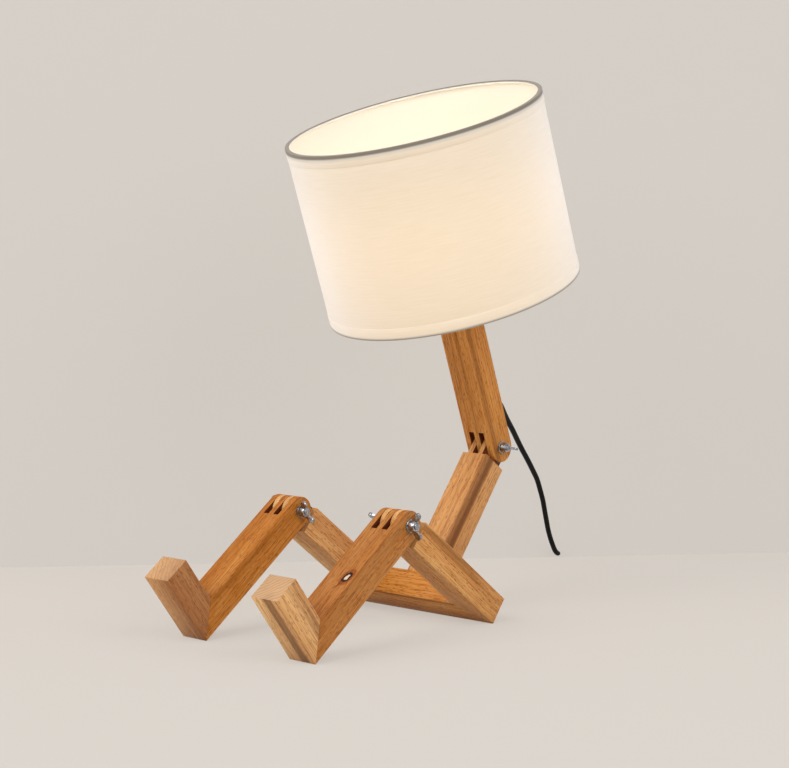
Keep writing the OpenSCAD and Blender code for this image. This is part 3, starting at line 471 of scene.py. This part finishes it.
def shade_laminate(name, colour, glow, low, middle, top, weave, rim=None):
    """A shade's sheet, lit from inside: its glow is strongest beside the bulb.

    glow is the light's hex colour, and low, middle and top are its strengths along the shade.
    weave gives the cloth's threads; without it the sheet is the smooth liner. Cloth seen on edge
    gives a whiter glow. Less light comes through near a rim, where the cloth is folded: rim is the
    width it starts at and the dark hex colour painted over the fold as painted shade. Only cloth has a rim.
    """
    material, tree = empty_material(name)
    coords = add(tree, "TexCoord")
    # Into the beam's frame, so that Z is the height up the shade.
    turned = add(
        tree, "Mapping",
        {"vector_type": "POINT", "Rotation": (-BEAM_LEAN, 0, 0), "Vector": coords.outputs["Object"]},
    )
    height = add(tree, "SeparateXYZ", {0: turned.outputs[0]}).outputs["Z"]
    bottom = (Matrix.Rotation(-BEAM_LEAN, 4, "X") @ WAIST).z + SHADE_BOTTOM
    share = ranged(tree, height, bottom, bottom + SHADE_HEIGHT)
    strength = add(tree, "ValToRGB", {"Fac": share})
    strength.color_ramp.interpolation = "B_SPLINE"
    line = strength.color_ramp.elements
    between = ((0.25, (low + middle) / 2), (0.5, middle), (0.75, (middle + top) / 2))
    for place, value in ((0.0, low), *between, (1.0, top)):
        stop = line[0] if place == 0 else line[-1] if place == 1 else line.new(place)
        stop.color = (value, value, value, 1)
    shader = principled(
        tree, base_color=linear(colour), roughness=0.85, emission_color=linear(glow), ior=1.45
    )
    lit_share = strength.outputs[0]
    if rim:
        fold_width, fold_shade_colour = rim[0] / SHADE_HEIGHT, linear(rim[1])
        to_rim = reckon(tree, "MINIMUM", share, reckon(tree, "SUBTRACT", 1.0, share))
        lets_through = ranged(tree, to_rim, fold_width * 0.45, fold_width)
        lit_share = reckon(tree, "MULTIPLY", lit_share, lets_through)
        # How much of the painted shade lies on the fold, nearest the rim.
        fold_shade_share = ranged(tree, to_rim, fold_width * 0.55, fold_width * 0.35)
    tree.links.new(lit_share, shader.inputs["Emission Strength"])
    if not weave:
        return material

    # Plain weave, drawn at 1.1 mm a thread so that it shows, with thicker threads here and there.
    cloth = add(tree, "UVMap", {"uv_map": "cloth"}).outputs[0]
    warp, weft = [
        add(
            tree, "TexWave",
            {"bands_direction": way, "Scale": WAVE_SPACING / (1.1 * MM), "Distortion": 0.6,
             "Detail Scale": 0.4, "Vector": cloth},
        ).outputs["Fac"]
        for way in "XY"
    ]
    slub_place = add(tree, "Mapping", {"Scale": (40, 900, 1), "Vector": cloth})
    slubs = noise(tree, slub_place.outputs[0], 1.0)["Fac"]
    threads = reckon(tree, "MULTIPLY_ADD", slubs, 0.9, reckon(tree, "ADD", warp, weft))
    tint = coloured(tree, slubs, (0.3, "FAF8F5"), (0.65, "FFFFFF"))
    dyed = laid(tree, 0.8, linear(colour), tint, "MULTIPLY")
    # Near a rim the white cloth turns to a dark grey: painted shade on the fold.
    if rim:
        dyed = laid(tree, fold_shade_share, dyed, fold_shade_colour)
    on_edge = add(tree, "LayerWeight", {"Blend": 0.5}).outputs["Facing"]
    edge_share = ranged(tree, on_edge, 0.0, 0.9, interpolation="SMOOTHSTEP")
    whiter = laid(tree, edge_share, linear(glow), [1.2, 1.0, 0.9, 1])
    lit = laid(tree, 0.5, whiter, tint, "MULTIPLY")
    tree.links.new(bumped(tree, threads, 0.12, 0.1 * MM), shader.inputs["Normal"])
    tree.links.new(dyed, shader.inputs["Base Color"])
    tree.links.new(lit, shader.inputs["Emission Color"])
    shader.inputs["Sheen Weight"].default_value = 0.35
    shader.inputs["Sheen Roughness"].default_value = 0.4
    return material


# White polyester and cotton cloth over styrene: warm where the bulb shines through.
CLOTH, CLOTH_GLOW = "D0CCC2", "FFCC84"
finishes["white_fabric"] = shade_laminate(
    "plain_weave_shade_cloth", CLOTH, CLOTH_GLOW, 0.30, 0.38, 0.26, True
)
# Hem tape of the same cloth, folded round the rim, where it looks dark against the light: that dark fold is
# painted shade.
upper_tape = shade_laminate(
    "upper_hem_tape", CLOTH, CLOTH_GLOW, 0.30, 0.37, 0.25, True, rim=(6.0 * MM, "82786B")
)
lower_tape = shade_laminate(
    "lower_hem_tape", CLOTH, CLOTH_GLOW, 0.29, 0.37, 0.28, True, rim=(2.6 * MM, "A89C8D")
)
# Smooth styrene sheet inside the shade, lit by the bulb itself.
finishes["shade_liner"] = shade_laminate("styrene_liner", "DCD6CB", "FFE9CA", 0.06, 0.12, 0.08, False)


def lit_opal(name):
    """Opal polycarbonate over the lit plate: a warm white glow, a little weaker at the rim."""
    material, tree = empty_material(name)
    rim = add(tree, "LayerWeight", {"Blend": 0.3}).outputs["Facing"]
    principled(
        tree, base_color=linear("F6F1E6"), roughness=0.35, emission_color=linear("FFEED4"), ior=1.58,
        emission_strength=ranged(tree, rim, 0.0, 1.0, 7.0, 5.5),
    )
    return material


finishes["opal_globe"] = lit_opal("lit_opal_polycarbonate")

# ---------------------------------------------------------------- solids with eased edges


def activate(piece):
    """Makes a piece the only one selected."""
    deselect()
    piece.select_set(True)
    bpy.context.view_layer.objects.active = piece


def eased(name, width=0.5, segments=2, angle=32, smooth=40, material=None):
    """A copy of a CAD solid with its sharp edges rounded, in its slot's finish if none is given.

    width is in millimetres. Edges sharper than angle are rounded, and those under smooth shaded
    smooth, both in degrees.
    """
    piece = bpy.data.objects.new(name + "_finished", nodes[name].data.copy())
    piece.data.name = piece.name
    bpy.context.collection.objects.link(piece)
    activate(piece)
    bpy.ops.object.mode_set(mode="EDIT")
    bpy.ops.mesh.select_all(action="SELECT")
    bpy.ops.mesh.remove_doubles(threshold=0.01 * MM)
    bpy.ops.mesh.customdata_custom_splitnormals_clear()
    bpy.ops.mesh.dissolve_limited(angle_limit=radians(1.5))
    bpy.ops.object.mode_set(mode="OBJECT")
    bevel = piece.modifiers.new("eased_edges", "BEVEL")
    bevel.width = width * MM
    bevel.segments = segments
    bevel.limit_method = "ANGLE"
    bevel.angle_limit = radians(angle)
    bevel.use_clamp_overlap = True
    bevel.miter_outer = "MITER_ARC"
    bevel.harden_normals = False
    bpy.ops.object.modifier_apply(modifier=bevel.name)
    bpy.ops.object.shade_smooth_by_angle(angle=radians(smooth))
    piece.data.materials.clear()
    piece.data.materials.append(material or finishes[slot_of[name]])
    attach(piece, body_of[name])
    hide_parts(name)
    deselect()


# Each bar's grain, turned onto Y: legs lie in the seat's frame, shins and beam in their own.
knot_place = Vector(
    (LEG_SPACING / 2 + KNOT_OUT,
     KNEE_Y - KNOT_DOWN * cos(SHIN_SLOPE) - LEG_DEPTH / 2 * sin(SHIN_SLOPE),
     KNEE_Z - KNOT_DOWN * sin(SHIN_SLOPE) + LEG_DEPTH / 2 * cos(SHIN_SLOPE))
)
wooden_bars = {
    "hip_bar": dict(turn=THIGH_TILT, across=True, pith=(40, 30), shift=0.31, tone=0.6),
    "left_thigh": dict(turn=THIGH_TILT, pith=(60, 20), shift=0.83),
    "right_thigh": dict(turn=THIGH_TILT, pith=(-50, 35), shift=1.27, tone=-0.4),
    "torso_beam": dict(
        turn=THIGH_TILT + pi / 2, pith=(25, 60), shift=1.91, tone=-0.4,
        streaks=((23.5, -0.5, 5.8, 0.55), (22.5, 2.5, 3.2, 0.7)),
    ),
    "left_shin": dict(
        turn=-SHIN_SLOPE, pith=(30, 24), shift=2.43, tone=0.2, knot=knot_place, heart=((0, -0.6, 0.8), 0.85)
    ),
    "right_shin": dict(turn=-SHIN_SLOPE, pith=(55, -30), shift=3.05, tone=0.6, heart=((0, -0.6, 0.8), 0.5)),
    "left_foot": dict(
        turn=-SHIN_SLOPE + pi / 2, pith=(-20, 44), shift=3.61, tone=-0.6, end_grain=0.85,
        streaks=((11, 2.5, 4.6, 0.7),),
    ),
    "right_foot": dict(
        turn=-SHIN_SLOPE + pi / 2, pith=(46, 30), shift=4.17, tone=-0.7, end_grain=0.45,
        heart=((1, 0, 0), 1.0),
    ),
    "upper_beam": dict(
        turn=-BEAM_LEAN + pi / 2, pith=(28, 52), shift=4.73, tone=0.4,
        streaks=((1, -4, 3.2, 0.15), (10, -5, 2.8, 0.3), (23, 1, 3.8, 0.45)),
    ),
}
for bar_name, figure in wooden_bars.items():
    eased(bar_name, 0.55, material=oiled_wood("oiled_wood_" + bar_name, bar_name, **figure))

for fastener in (
    "left_knee_bolt", "left_knee_wing_nut", "right_knee_bolt", "right_knee_wing_nut", "waist_bolt",
    "waist_wing_nut",
):
    eased(fastener, 0.6, segments=3, angle=38, smooth=50)
for solid_name, width in {
    "left_knee_washers": 0.2, "right_knee_washers": 0.2, "waist_washers": 0.2, "holder_cap": 0.5,
    "holder_shell": 0.5, "shade_ring": 0.5, "switch_lower_shell": 0.5, "switch_upper_shell": 0.5,
    "plug_body": 0.5, "bulb_housing": 0.5, "cord_bush": 0.5, "switch_rocker": 0.4, "plug_pins": 0.3,
    "bulb_screw_cap": 0.2, "shade_fitter": 0.2,
}.items():
    eased(solid_name, width)

# ---------------------------------------------------------------- shade


def onto_beam(piece):
    """Puts a piece made around Z onto the upper beam, with its place in its mesh."""
    piece.data.transform(beam_frame @ piece.matrix_world)
    piece.matrix_world = Matrix.Identity(4)


def fold_over_wire(tube, radius, rim_z):
    """Turns a tube's rim inwards, as far as the wire reaches."""
    turn_in = WIRE_INSIDE / radius
    for face in tube.data.polygons:
        face.select = False
    for corner in tube.data.vertices:
        corner.select = abs(corner.co.z - rim_z) < 0.01 * MM
    for edge in tube.data.edges:
        edge.select = all(tube.data.vertices[end].select for end in edge.vertices)
    bpy.ops.object.mode_set(mode="EDIT")
    bpy.ops.mesh.select_mode(type="EDGE")
    bpy.ops.mesh.extrude_region()
    bpy.ops.transform.resize(value=(turn_in, turn_in, 1), center_override=(0, 0, rim_z))
    bpy.ops.mesh.select_mode(type="VERT")
    bpy.ops.object.mode_set(mode="OBJECT")


def tube_around_axis(name, radius, low, high, thickness, rows=8, sides=192, folded_at=None):
    """An open tube around the beam's axis with a wall inwards, and a cloth UV map in metres.

    A tape is folded over the rim at one of its ends, whose height is folded_at.
    """
    deselect()
    bpy.ops.mesh.primitive_cylinder_add(
        vertices=sides, radius=radius, depth=high - low, end_fill_type="NOTHING",
        location=(0, 0, (low + high) / 2),
    )
    tube = bpy.context.object
    tube.name = tube.data.name = name
    tube.data.transform(tube.matrix_world)
    tube.matrix_world = Matrix.Identity(4)
    for row in range(1, rows):
        bpy.ops.object.mode_set(mode="EDIT")
        bpy.ops.mesh.select_all(action="SELECT")
        bpy.ops.mesh.bisect(plane_co=(0, 0, low + (high - low) * row / rows), plane_no=(0, 0, 1))
        bpy.ops.object.mode_set(mode="OBJECT")
    if folded_at is not None:
        fold_over_wire(tube, radius, folded_at)
    wall = tube.modifiers.new("wall", "SOLIDIFY")
    wall.thickness = thickness
    wall.offset = -1
    bpy.ops.object.modifier_apply(modifier=wall.name)
    rounding = tube.modifiers.new("rounded_rims", "BEVEL")
    rounding.width = thickness * 0.45
    rounding.segments = 2
    rounding.limit_method = "ANGLE"
    rounding.angle_limit = radians(50)
    bpy.ops.object.modifier_apply(modifier=rounding.name)
    bpy.ops.object.shade_smooth_by_angle(angle=radians(40))
    while tube.data.uv_layers:
        tube.data.uv_layers.remove(tube.data.uv_layers[0])
    cloth = tube.data.uv_layers.new(name="cloth")
    for face in tube.data.polygons:
        middle = atan2(face.center.y, face.center.x)
        for corner in face.loop_indices:
            point = tube.data.vertices[tube.data.loops[corner].vertex_index].co
            around = atan2(point.y, point.x)
            around += 2 * pi * round((middle - around) / (2 * pi))
            cloth.data[corner].uv = (around * radius, point.z)
    return tube


under_hems = (SHADE_BOTTOM + HEM_THICKNESS, SHADE_TOP - HEM_THICKNESS)
hem_radius = SHADE_RADIUS + HEM_THICKNESS
fabric = tube_around_axis("shade_cloth", SHADE_RADIUS, *under_hems, FABRIC_THICKNESS)
liner = tube_around_axis("shade_stiff_liner", LINER_RADIUS, *under_hems, LINER_THICKNESS)
lower_hem = tube_around_axis(
    "shade_lower_hem", hem_radius, SHADE_BOTTOM, SHADE_BOTTOM + HEM_WIDTH, TAPE_THICKNESS, rows=2,
    folded_at=SHADE_BOTTOM,
)
upper_hem = tube_around_axis(
    "shade_upper_hem", hem_radius, SHADE_TOP - HEM_WIDTH, SHADE_TOP, TAPE_THICKNESS, rows=2,
    folded_at=SHADE_TOP,
)
for piece, finish, node_name in (
    (fabric, finishes["white_fabric"], "shade_fabric"),
    (liner, finishes["shade_liner"], "shade_liner"),
    (lower_hem, lower_tape, "shade_bottom_hem"),
    (upper_hem, upper_tape, "shade_top_hem"),
):
    onto_beam(piece)
    piece.data.materials.clear()
    piece.data.materials.append(finish)
    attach(piece, "upper_body")
    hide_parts(node_name)

eased("bulb_globe", 0.3, angle=60, smooth=60)

# ---------------------------------------------------------------- cord

# The middle line's points from the bush down to the table, as in the solid.
exit_way = Vector((0, sin(EXIT_SLOPE), -cos(EXIT_SLOPE)))
lead_points = [
    (-2, 155.5, 173), (-9.5, 170, 164.5), (-17, 184.5, 156), (-24, 201, 145), (-31, 216.5, 134.5),
    (-37, 231.5, 123.5), (-43, 247.5, 112), (-49, 262.5, 101), (-54.5, 276.5, 90),
    (-60, 288.5, 78), (-65, 299, 67), (-70.5, 309, 55.5), (-76, 319, 44), (-81, 328.5, 32.5),
    (-85.5, 338.5, 21.5), (-88.5, 346, 14), (-90.5, 351, 9.5), (-92, 355.5, 6), (-93.5, 360.5, 3.6),
    (-95, 366, 2.8), (-96, 371.5, 3.5), (-97, 378, 5.5), (-97, 384, 7.5), (-97, 390, 7.5),
]
lead = [CORD_EXIT, CORD_EXIT + exit_way * 6 * MM] + [Vector(point) * MM for point in lead_points]


def held_to_one(share):
    return min(1, max(0, share))


def smooth_step(share):
    share = held_to_one(share)
    return share * share * (3 - 2 * share)


def coil_place(turn):
    """A point of the coil: in on the table, up in half a turn, out again on top."""
    inner = COIL_RADIUS - COIL_PITCH * COIL_TURNS
    climb = held_to_one((turn - COIL_TURNS) / CLIMB_TURNS)
    if turn < COIL_TURNS:
        radius = COIL_RADIUS - COIL_PITCH * turn
    elif turn > COIL_TURNS + CLIMB_TURNS:
        radius = inner + COIL_PITCH * (turn - COIL_TURNS - CLIMB_TURNS)
    else:
        radius = inner - CLIMB_BOW * sin(pi * climb)
    around = 2 * pi * turn
    return COIL_CENTRE + Vector(
        (-radius * cos(around), radius * sin(around), COIL_LOW + COIL_PITCH * smooth_step(climb))
    )


cord_side = COIL_CENTRE.x - COIL_RADIUS


def run_along_y(start, stop, ease_from, ease_over, from_z, to_z):
    """Points beside the coil, every 3 mm along Y, that change from one height to another."""
    return [
        Vector((cord_side, y * MM, from_z + (to_z - from_z) * smooth_step((y - ease_from) / ease_over)))
        for y in range(start, stop, 3)
    ]


through_switch = [
    Vector((cord_side, SWITCH_START * MM + d * MM, SWITCH_AXIS_Z)) for d in (10, 20, 29, 38, 48)
]
lead_in = run_along_y(SWITCH_END, COIL_MIDDLE - 2, SWITCH_END + 5, 15, SWITCH_AXIS_Z, COIL_LOW)
coil_steps = int((2 * COIL_TURNS + CLIMB_TURNS) * STEPS_A_TURN)
coil = [coil_place(i / STEPS_A_TURN) for i in range(coil_steps + 1)]
lead_out = run_along_y(COIL_MIDDLE + 4, PLUG_START + 1, COIL_MIDDLE + 13, 12, COIL_HIGH, PLUG_AXIS_Z)
put_away = through_switch + lead_in + coil + lead_out


def eased_path(points, parts=3):
    """More points on a smooth curve through the given ones, so that the sheath shows no corners."""
    fine = []
    last = len(points) - 1
    for i in range(last):
        before, a, b, after = points[max(i - 1, 0)], points[i], points[i + 1], points[min(i + 2, last)]
        for k in range(parts):
            t = k / parts
            fine.append(
                0.5 * (2 * a + (b - before) * t + (2 * before - 5 * a + 4 * b - after) * t * t
                       + (3 * a - before - 3 * b + after) * t ** 3)
            )
    return fine + [points[last]]


def sheath(name, points, radius, sides=14):
    """A closed round tube along a line of points, without a twist from one to the next."""
    corners, faces = [], []
    side = None
    for i, point in enumerate(points):
        heading = (points[min(i + 1, len(points) - 1)] - points[max(i - 1, 0)]).normalized()
        if side is None:
            side = heading.orthogonal().normalized()
        side = (side - heading * side.dot(heading)).normalized()
        up = heading.cross(side)
        corners += [
            point + radius * (cos(2 * pi * k / sides) * side + sin(2 * pi * k / sides) * up)
            for k in range(sides)
        ]
    for i in range(len(points) - 1):
        for k in range(sides):
            a, b = i * sides + k, i * sides + (k + 1) % sides
            faces.append((a, b, b + sides, a + sides))
    faces.append(tuple(range(sides - 1, -1, -1)))
    faces.append(tuple(range(len(corners) - sides, len(corners))))
    mesh = bpy.data.meshes.new(name)
    mesh.from_pydata(corners, [], faces)
    mesh.validate()
    tube = bpy.data.objects.new(name, mesh)
    bpy.context.collection.objects.link(tube)
    activate(tube)
    bpy.ops.object.shade_smooth_by_angle(angle=radians(50))
    return tube


smooth_path = eased_path(lead) + put_away
cord = sheath("mains_cord", smooth_path, CORD_DIAMETER / 2)
cord.data.materials.append(finishes["black_cord"])
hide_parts("cord_lead", "cord_coil")
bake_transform(cord)

# ---------------------------------------------------------------- what keeps its own CAD mesh

for name, piece in nodes.items():
    if not piece.hide_render:
        piece.data.materials.clear()
        piece.data.materials.append(finishes[slot_of[name]])

# ---------------------------------------------------------------- light

LIT_PLACE = (0, 0.05, 0.2)

world = bpy.data.worlds.new("studio_air")
bpy.context.scene.world = world
world.use_nodes = True
world.node_tree.nodes.clear()
air = add(world.node_tree, "Background", {"Color": linear("F6F8FC"), "Strength": 0.72})
add(world.node_tree, "OutputWorld", {"Surface": air.outputs[0]})


def softbox(name, place, size, strength, colour):
    """A square area light that faces the lamp. size is in metres and strength in watts."""
    lamp = bpy.data.lights.new(name, "AREA")
    lamp.shape = "SQUARE"
    lamp.size = size
    lamp.energy = strength
    lamp.color = linear(colour)[:3]
    holder = bpy.data.objects.new(name, lamp)
    bpy.context.collection.objects.link(holder)
    holder.location = place
    holder.rotation_euler = facing(place, LIT_PLACE)


softbox("key_softbox", (-0.4, -2.0, 1.7), 1.8, 34, "FFFDFA")
softbox("fill_softbox", (2.2, -0.2, 1.5), 1.6, 21, "FFFFFF")

bpy.context.scene.view_settings.view_transform = "Standard"
